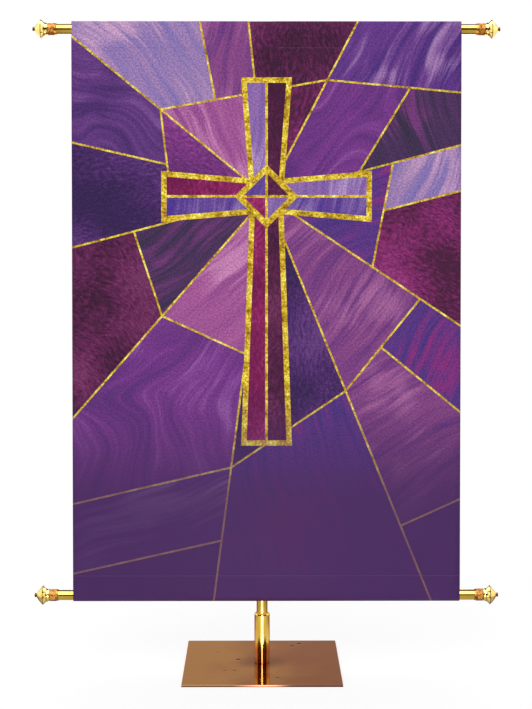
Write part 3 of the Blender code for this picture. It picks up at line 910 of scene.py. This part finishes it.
# How each texture of glass is drawn. In millimetres: a bend of its streaks and how far it pushes them, a
# streak's length and width, and a cloud of its depth. As shares: how stirred the bends are, the streaks' fine
# detail, how much streaks and clouds weigh in its tones, and where the middle tone and the light one set in
# and are full.
GLASS_DRAWING = {
    "wispy": {
        "bend": 166.67, "push": 70.0, "stirred": 0.0, "streak": (200.0, 12.5), "fine": (6.0, 0.66),
        "cloud": 111.11,
        "weights": (1.0, 1.0), "middle": (0.33, 0.58), "light": (0.98, 1.28, 0.0, 0.85),
    },
    "hammered": {
        "bend": 83.33, "push": 50.0, "stirred": 0.0, "streak": (9.091, 4.348), "fine": (1.5, 0.5),
        "cloud": 125.0,
        "weights": (0.75, 1.0), "middle": (0.66, 1.04), "light": (0.92, 1.2, 0.0, 0.7),
    },
    "swirled": {
        "bend": 222.22, "push": 260.0, "stirred": 0.6, "streak": (200.0, 15.625), "fine": (6.0, 0.6),
        "cloud": 142.86, "weights": (1.0, 0.7), "middle": (0.66, 0.94), "light": (0.88, 1.12, 0.0, 0.85),
    },
}
FADE_HEIGHTS = (0.14, 0.36)
FADE_SHARE = 0.94
FADED_GLASS = "#46285b"
FADED_FOIL = "#6d4a5a"
FOIL_TONES = ("#b08a1a", "#d8b62c", "#efdc4e")
# Millimetres between the grains of the print
PRINT_GRAIN = 2.6
# Millimetres across a crumple and across a patch of the foil
FOIL_CRUMPLE = 3.85
FOIL_PATCH = 18.2
# Millimetres between the puckers along a seam, and a pucker's length away from it
SEAM_PUCKER = (6.67, 40.0)
WEAVE_PITCH = 0.0009
PUCKER_REACH = 0.009


def glass_tones(tree):
    """The three tones of the pane that a face belongs to, dark, middle and light."""
    return [
        add_node(tree, "ShaderNodeAttribute", {}, attribute_name=tone).outputs["Color"]
        for tone in ("dark_tone", "middle_tone", "light_tone")
    ]


def glass_print(tree, texture, place):
    """Printed glass in three tones. Wispy is opalescent, with long bent streaks and soft pale wisps. Hammered
    is cathedral glass, with fine wavering ripples. Swirled is stirred, with streaks that wind into wide
    curls."""
    drawing = GLASS_DRAWING[texture]
    dark, middle, light = glass_tones(tree)
    bend = add_node(tree, "ShaderNodeTexNoise", {
        "Vector": place, "Scale": 1000 / drawing["bend"], "Detail": 1.0, "Distortion": drawing["stirred"],
    }).outputs["Color"]
    push = (drawing["push"] / 1000, drawing["push"] / 1000, 0.0)
    pushed = add_node(tree, "ShaderNodeVectorMath", [bend, push, place], operation="MULTIPLY_ADD")
    stretch = (1000 / drawing["streak"][0], 1000 / drawing["streak"][1], 1.0)
    drawn = add_node(tree, "ShaderNodeVectorMath", [pushed, stretch], operation="MULTIPLY")
    detail, roughness = drawing["fine"]
    streaks = add_node(tree, "ShaderNodeTexNoise", {
        "Vector": drawn, "Scale": 1.0, "Detail": detail, "Roughness": roughness,
    })
    clouds = add_node(tree, "ShaderNodeTexNoise", {
        "Vector": place if texture == "hammered" else pushed, "Scale": 1000 / drawing["cloud"], "Detail": 2.0,
    })
    streak_weight, cloud_weight = drawing["weights"]
    clouded = add_node(tree, "ShaderNodeMath", [clouds, cloud_weight], operation="MULTIPLY")
    level = add_node(tree, "ShaderNodeMath", [streaks, streak_weight, clouded], operation="MULTIPLY_ADD")
    first = [streaks if texture == "wispy" else level, *drawing["middle"]]
    tone = add_node(tree, "ShaderNodeMapRange", first, interpolation_type="SMOOTHSTEP")
    toned = add_node(tree, "ShaderNodeMix", [tone, dark, middle], data_type="RGBA")
    glow = add_node(tree, "ShaderNodeMapRange", [level, *drawing["light"]], interpolation_type="SMOOTHSTEP")
    return add_node(tree, "ShaderNodeMix", [glow, toned, light], data_type="RGBA")


def foil_print(tree, sheet):
    """Printed gold leaf: crumpled, with bright flecks on a darker, patchy ground."""
    crumple = add_node(tree, "ShaderNodeTexNoise", {
        "Vector": sheet, "Scale": 1000 / FOIL_CRUMPLE, "Detail": 4.0, "Roughness": 0.65,
    })
    patches = add_node(tree, "ShaderNodeTexNoise", {"Vector": sheet, "Scale": 1000 / FOIL_PATCH, "Detail": 2.0})
    level = add_node(tree, "ShaderNodeMath", [patches, 0.8, crumple], operation="MULTIPLY_ADD")
    spread = add_node(tree, "ShaderNodeMapRange", [level, 0.66, 1.14])
    ramp = add_node(tree, "ShaderNodeValToRGB", [spread])
    stops = ramp.color_ramp.elements
    stops[0].position, stops[0].color = 0.0, srgb("#7a5a12")
    stops[1].position, stops[1].color = 1.0, srgb("#fff6a0")
    for position, code in ((0.3, FOIL_TONES[0]), (0.55, FOIL_TONES[1]), (0.78, FOIL_TONES[2])):
        stops.new(position).color = srgb(code)
    return ramp


def printed_polyester(texture, faded_code, paleness=0.0):
    """Dye-printed polyester: colour sunk in the yarn, so it is matt with a slight sheen. The real weave,
    about 0.35 mm, is too fine to show and is drawn at 0.9 mm. The print fades to plain purple near the lower
    edge."""
    material, tree, shader = new_material(f"polyester_print_{texture}")
    sheet = add_node(tree, "ShaderNodeUVMap", {}, uv_map="sheet").outputs["UV"]
    glass = add_node(tree, "ShaderNodeUVMap", {}, uv_map="glass").outputs["UV"]
    split = add_node(tree, "ShaderNodeSeparateXYZ", [sheet])
    height = split.outputs["Y"]
    if texture == "foil":
        colour = foil_print(tree, sheet)
    elif texture == "back":
        colour = glass_tones(tree)[1]
    else:
        colour = glass_print(tree, texture, glass)
    grain = add_node(tree, "ShaderNodeTexNoise", {"Vector": sheet, "Scale": 1000 / PRINT_GRAIN, "Detail": 2.0})
    shade = add_node(tree, "ShaderNodeMapRange", [grain, 0.3, 0.7, 0.72, 1.28],
                     interpolation_type="SMOOTHSTEP")
    colour = add_node(tree, "ShaderNodeVectorMath", [colour, shade], operation="SCALE")
    fade = [height, *FADE_HEIGHTS, FADE_SHARE, 0.0]
    fade = add_node(tree, "ShaderNodeMapRange", fade, interpolation_type="SMOOTHSTEP")
    colour = add_node(tree, "ShaderNodeMix", [fade, colour, srgb(faded_code)], data_type="RGBA")
    colour = add_node(tree, "ShaderNodeMix", [paleness, colour, srgb("#d9d2e2")], data_type="RGBA")
    threads = []
    for way in (split, height):
        turns = add_node(tree, "ShaderNodeMath", [way, math.tau / WEAVE_PITCH], operation="MULTIPLY")
        threads.append(add_node(tree, "ShaderNodeMath", [turns], operation="SINE"))
    relief = add_node(tree, "ShaderNodeMath", threads, operation="MULTIPLY")
    spread = (1000 / SEAM_PUCKER[0], 1000 / SEAM_PUCKER[1], 1.0)
    spread = add_node(tree, "ShaderNodeVectorMath", [sheet, spread], operation="MULTIPLY")
    puckers = add_node(tree, "ShaderNodeTexNoise", {"Vector": spread, "Scale": 1.0, "Detail": 1.0})
    for seam_height in (TOP_SEAM - cloth_low.z, BOTTOM_SEAM - cloth_low.z):
        near = add_node(tree, "ShaderNodeMath", [height, seam_height, PUCKER_REACH], operation="COMPARE")
        pucker = add_node(tree, "ShaderNodeMath", [puckers, near], operation="MULTIPLY")
        relief = add_node(tree, "ShaderNodeMath", [pucker, 3.0, relief], operation="MULTIPLY_ADD")
    fill_inputs(shader, {
        "Base Color": colour, "Roughness": 0.62, "Specular IOR Level": 0.10,
        "Sheen Weight": 0.03, "Sheen Roughness": 0.4,
        "Normal": add_node(tree, "ShaderNodeBump", {"Height": relief, "Strength": 0.25, "Distance": 0.0002}),
    })
    return material


faces = [printed_polyester(texture, FADED_FOIL if texture == "foil" else FADED_GLASS) for texture in TEXTURES]
back = printed_polyester("back", FADED_GLASS, paleness=0.42)
cloth = new_piece("printed_banner_cloth", shape, faces[0], 60)
for material in faces[1:] + [back] * len(faces):
    cloth.data.materials.append(material)
for level, name in enumerate(("dark_tone", "middle_tone", "light_tone")):
    tones = cloth.data.attributes.new(name, "FLOAT_COLOR", "FACE")
    values = []
    for kind in kinds:
        values += srgb(GLASS[kind][level + 1] if kind in GLASS else FOIL_TONES[level])
    tones.data.foreach_set("color", values)
depth = cloth.modifiers.new("cloth thickness", "SOLIDIFY")
depth.thickness = THICKNESS
depth.offset = 0.0
depth.material_offset = len(faces)
make_plain(cloth)
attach(cloth, "banner")
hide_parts("banner_cloth")


# Seams: one row of lockstitch closes each pocket, in purple polyester thread. It shows on the sheet's front
# and on the hem behind, and stops at both sides of the notch.
STITCH_PITCH = 0.0030
STITCH_LENGTH = 0.0025
THREAD_RADIUS = 0.00026
SEAM_INSET = 0.003
# Millimetres across a tuft of the thread's fuzz
THREAD_FUZZ = 0.4


def stitch_tree(material):
    """Geometry Nodes: a thread loop at each stitch of a seam's path, turned along it."""
    tree, given = new_tree("lockstitch", (
        ("Pitch", "Float"), ("Stitch Length", "Float"), ("Thread Radius", "Float"),
    ))
    path = add_node(tree, "GeometryNodeMeshToCurve", {"Mesh": given})
    spaced = add_node(tree, "GeometryNodeResampleCurve", {"Curve": path, "Length": given.outputs["Pitch"]},
                      mode="LENGTH")
    along = add_node(tree, "GeometryNodeInputTangent", {})
    turned_along = add_node(tree, "FunctionNodeAlignRotationToVector", {"Vector": along}, axis="X")
    half = add_node(tree, "ShaderNodeMath", [given.outputs["Stitch Length"], 0.5], operation="MULTIPLY")
    radius = given.outputs["Thread Radius"]
    size = add_node(tree, "ShaderNodeCombineXYZ", [half, radius, radius])
    bead = add_node(tree, "GeometryNodeMeshUVSphere", {"Segments": 8, "Rings": 6, "Radius": 1.0})
    stitches = add_node(tree, "GeometryNodeInstanceOnPoints", {
        "Points": spaced, "Instance": bead, "Rotation": turned_along, "Scale": size,
    })
    close_tree(tree, stitches, material)
    return tree


def sewing_thread():
    """Spun polyester thread: matt, a shade darker than the print."""
    material, tree, shader = new_material("polyester_sewing_thread")
    place = add_node(tree, "ShaderNodeTexCoord", {}).outputs["Object"]
    fuzz = add_node(tree, "ShaderNodeTexNoise", {"Vector": place, "Scale": 1000 / THREAD_FUZZ, "Detail": 2.0})
    colour = add_node(tree, "ShaderNodeMix", [fuzz, srgb("#4a3062"), srgb("#6e5088")], data_type="RGBA")
    fill_inputs(shader, {"Base Color": colour, "Roughness": 0.7})
    return material


def seam_run(shape, start_x, end_x, y, z):
    """One straight run of a seam that follows the cloth's slow waves."""
    count = max(2, round((end_x - start_x) / 0.02))
    points = []
    for step in range(count + 1):
        x = start_x + (end_x - start_x) * step / count
        points.append(shape.verts.new((x, y + unevenness(x, z), z)))
    for pair in zip(points, points[1:]):
        shape.edges.new(pair)


thread = sewing_thread()
front_thread_y = FRONT_Y - THICKNESS / 2
hem_thread_y = FRONT_Y + CAD_THICKNESS + THICKNESS / 2
seam_ends = (-CLOTH_HALF + SEAM_INSET, CLOTH_HALF - SEAM_INSET)
notched = ((seam_ends[0], notch[0] - SEAM_INSET), (notch[1] + SEAM_INSET, seam_ends[1]))
lockstitch = stitch_tree(thread)
for level, z, runs in (("top", TOP_SEAM, notched), ("bottom", BOTTOM_SEAM, (seam_ends,))):
    shape = bmesh.new()
    for start_x, end_x in runs:
        for y in (front_thread_y, hem_thread_y):
            seam_run(shape, start_x, end_x, y, z)
    seam = new_piece(f"lockstitch_seam_{level}", shape, thread)
    stitches = seam.modifiers.new("lockstitch", "NODES")
    stitches.node_group = lockstitch
    set_inputs(stitches, {
        "Pitch": STITCH_PITCH, "Stitch Length": STITCH_LENGTH, "Thread Radius": THREAD_RADIUS,
    })
    make_plain(seam)
    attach(seam, "banner")


# Studio: a pale floor, an even white surround, a large soft light over the camera, and a small low one in
# front of the socket, whose streak shows in the polished tubes. The camera stands where the photographer's
# did.
FLOOR_HALF = 30.0
MATT_LIGHT = 0.86
CAMERA_PLACE = (-0.0118, -2.4521, 0.7173)
CAMERA_YAW = 0.259
CAMERA_DIP = 1.5
CAMERA_LENS = 78.46
CAMERA_SHIFT = -0.14


def pale_floor():
    """White paper, lit from below as on a light table, so that it stays white under the banner. Mirrors see
    it brightest straight in front of the stand, dimmer at the sides, and dark round the plate and far in
    front."""
    material, tree, shader = new_material("studio_paper")
    place = add_node(tree, "ShaderNodeTexCoord", {}).outputs["Object"]
    split = add_node(tree, "ShaderNodeSeparateXYZ", [place])
    behind = split.outputs["Y"]
    across = add_node(tree, "ShaderNodeMath", [split, STAND_X], operation="SUBTRACT")
    across = add_node(tree, "ShaderNodeMath", [across], operation="ABSOLUTE")
    slant = add_node(tree, "ShaderNodeMath", [across, behind], operation="DIVIDE")
    slant = add_node(tree, "ShaderNodeMath", [slant], operation="ABSOLUTE")
    depth = add_node(tree, "ShaderNodeMath", [behind], operation="ABSOLUTE")
    beside_plate = add_node(tree, "ShaderNodeMath", [across, depth], operation="MAXIMUM")
    near_axis = add_node(tree, "ShaderNodeMath", [across, 0.15], operation="MINIMUM")
    past = add_node(tree, "ShaderNodeMath", [near_axis, -0.5, behind], operation="MULTIPLY_ADD")
    # What each zone is measured by, where it starts and ends, and its level at both
    zones = {
        "far": [behind, -3.2, -2.6, 0.02, 0.95],
        "straight": [slant, 0.0, 0.38, 10.0, 0.0],
        "close": [behind, -1.0, -0.6, 0.0, 1.0],
        "side": [across, 0.22, 0.30, 1.0, 0.62],
        "wide": [across, 0.65, 0.9, 0.0, 0.7],
        "shadow": [beside_plate, plate_high.y, plate_high.y + 0.012, 0.12, 1.0],
        "back": [past, 0.0, 0.05, 0.0, 1.0],
        "back width": [across, 0.5, 0.8, 1.0, 0.0],
    }
    for name, zone in zones.items():
        zones[name] = add_node(tree, "ShaderNodeMapRange", zone, interpolation_type="SMOOTHSTEP")
    seen = add_node(tree, "ShaderNodeMath", [zones["straight"], zones["close"], 1.0],
                    operation="MULTIPLY_ADD")
    sides = add_node(tree, "ShaderNodeMath", [zones["side"], zones["wide"]], operation="ADD")
    for level in (zones["far"], sides, zones["shadow"]):
        seen = add_node(tree, "ShaderNodeMath", [seen, level], operation="MULTIPLY")
    back_zone = add_node(tree, "ShaderNodeMath", [zones["back"], zones["back width"]], operation="MULTIPLY")
    shade = add_node(tree, "ShaderNodeMix", [back_zone, srgb("#ffffff"), srgb("#a4665a")], data_type="RGBA")
    mirrored = add_node(tree, "ShaderNodeEmission", {"Color": shade, "Strength": seen})
    fill_inputs(shader, {
        "Base Color": (0.36, 0.36, 0.36, 1.0), "Roughness": 0.95, "Specular IOR Level": 0.0,
        "Emission Color": srgb("#ffffff"), "Emission Strength": 0.70,
    })
    in_mirrors = add_node(tree, "ShaderNodeLightPath", {}).outputs["Is Glossy Ray"]
    both = add_node(tree, "ShaderNodeMixShader", [in_mirrors, shader, mirrored])
    fill_inputs(tree.nodes["Material Output"], {"Surface": both})
    return material


shape = bmesh.new()
bmesh.ops.create_grid(shape, x_segments=1, y_segments=1, size=FLOOR_HALF)
floor = new_piece("studio_floor", shape, pale_floor())


def studio_world():
    """White surround for the camera and for matt surfaces. Mirrors see a bright ceiling, pale walls at the
    sides, a dark gap in front at eye level with a dim plum curtain above it, and a dark screen behind, which
    give polished metal its bright and dark lines."""
    world = bpy.data.worlds.new("studio")
    world.use_nodes = True
    tree = world.node_tree
    tree.nodes.clear()
    way = add_node(tree, "ShaderNodeTexCoord", {}).outputs["Generated"]
    split = add_node(tree, "ShaderNodeSeparateXYZ", [way])
    across = add_node(tree, "ShaderNodeMath", [split], operation="ABSOLUTE")
    ahead, up = split.outputs["Y"], split.outputs["Z"]
    # What each zone is measured by, where it starts and ends, and its level at both
    zones = {
        "ceiling": [up, 0.42, 0.48, 0.0, 3.6],
        "ceiling width": [across, 0.72, 0.84, 1.0, 0.0],
        "walls": [across, 0.7, 0.85, 1.0, 1.5],
        "screen": [up, 0.31, 0.40, 0.34, 0.97],
        "screen width": [across, 0.36, 0.52, 1.0, 0.0],
        "behind": [ahead, 0.0, 0.14, 0.0, 1.0],
        "in front": [ahead, -0.42, -0.2, 1.0, 0.0],
        "gap": [up, 0.41, 0.45, 1.0, 0.0],
        "curtain": [up, 0.16, 0.22, 0.0, 0.30],
        "curtain sides": [across, 0.15, 0.19, 0.0, 1.0],
    }
    for name, zone in zones.items():
        zones[name] = add_node(tree, "ShaderNodeMapRange", zone, interpolation_type="SMOOTHSTEP")
    ceiling = [zones["ceiling"], zones["ceiling width"], zones["walls"]]
    walls = add_node(tree, "ShaderNodeMath", ceiling, operation="MULTIPLY_ADD")
    screen = add_node(tree, "ShaderNodeMath", [zones["screen"], zones["screen width"]], operation="MULTIPLY")
    screen = add_node(tree, "ShaderNodeMath", [screen, zones["behind"]], operation="MULTIPLY")
    unscreened = add_node(tree, "ShaderNodeMath", [1.0, screen], operation="SUBTRACT")
    level = add_node(tree, "ShaderNodeMath", [walls, unscreened], operation="MULTIPLY")
    gap = add_node(tree, "ShaderNodeMath", [zones["gap"], zones["in front"]], operation="MULTIPLY")
    curtain = add_node(tree, "ShaderNodeMath", [zones["curtain"], zones["curtain sides"]],
                       operation="MULTIPLY")
    mirrored = add_node(tree, "ShaderNodeMix", [gap, level, curtain], data_type="FLOAT")
    shade = add_node(tree, "ShaderNodeMix", [gap, srgb("#ffffff"), srgb("#c8809c")], data_type="RGBA")
    ray = add_node(tree, "ShaderNodeLightPath", {})
    in_mirrors = ray.outputs["Is Glossy Ray"]
    plain = add_node(tree, "ShaderNodeMapRange", [ray.outputs["Is Camera Ray"], 0.0, 1.0, MATT_LIGHT, 1.0])
    strength = add_node(tree, "ShaderNodeMix", [in_mirrors, plain, mirrored], data_type="FLOAT")
    colour = add_node(tree, "ShaderNodeMix", [in_mirrors, srgb("#ffffff"), shade], data_type="RGBA")
    surround = add_node(tree, "ShaderNodeBackground", {"Color": colour, "Strength": strength})
    add_node(tree, "ShaderNodeOutputWorld", {"Surface": surround})
    return world


def soft_light(name, place, target, width, height, power):
    """A rectangular studio light, unseen by the camera, aimed at a point."""
    light = bpy.data.lights.new(name, "AREA")
    light.shape = "RECTANGLE"
    light.size = width
    light.size_y = height
    light.energy = power
    lamp = bpy.data.objects.new(name, light)
    bpy.context.scene.collection.objects.link(lamp)
    lamp.location = place
    lamp.rotation_euler = (Vector(target) - Vector(place)).to_track_quat("-Z", "Y").to_euler()
    lamp.visible_camera = False
    return lamp


bpy.context.scene.world = studio_world()
soft_light("light_over_camera", (-1.2, -3.0, 2.6), (0, 0, 0.5), 2.4, 1.6, 20.0)
low_light = soft_light("low_light_for_the_tubes", (STAND_X, -0.4, 0.115), (STAND_X, 0, 0.115), 0.07, 0.09, 0.5)
low_light.visible_diffuse = False
bpy.context.scene.view_settings.view_transform = "Standard"

camera_data = bpy.data.cameras.new("camera")
camera_data.lens = CAMERA_LENS
camera_data.shift_y = CAMERA_SHIFT
camera = bpy.data.objects.new("camera", camera_data)
camera.location = CAMERA_PLACE
camera.rotation_euler = (math.radians(90 - CAMERA_DIP), 0, math.radians(-CAMERA_YAW))
bpy.context.scene.collection.objects.link(camera)
bpy.context.scene.camera = camera
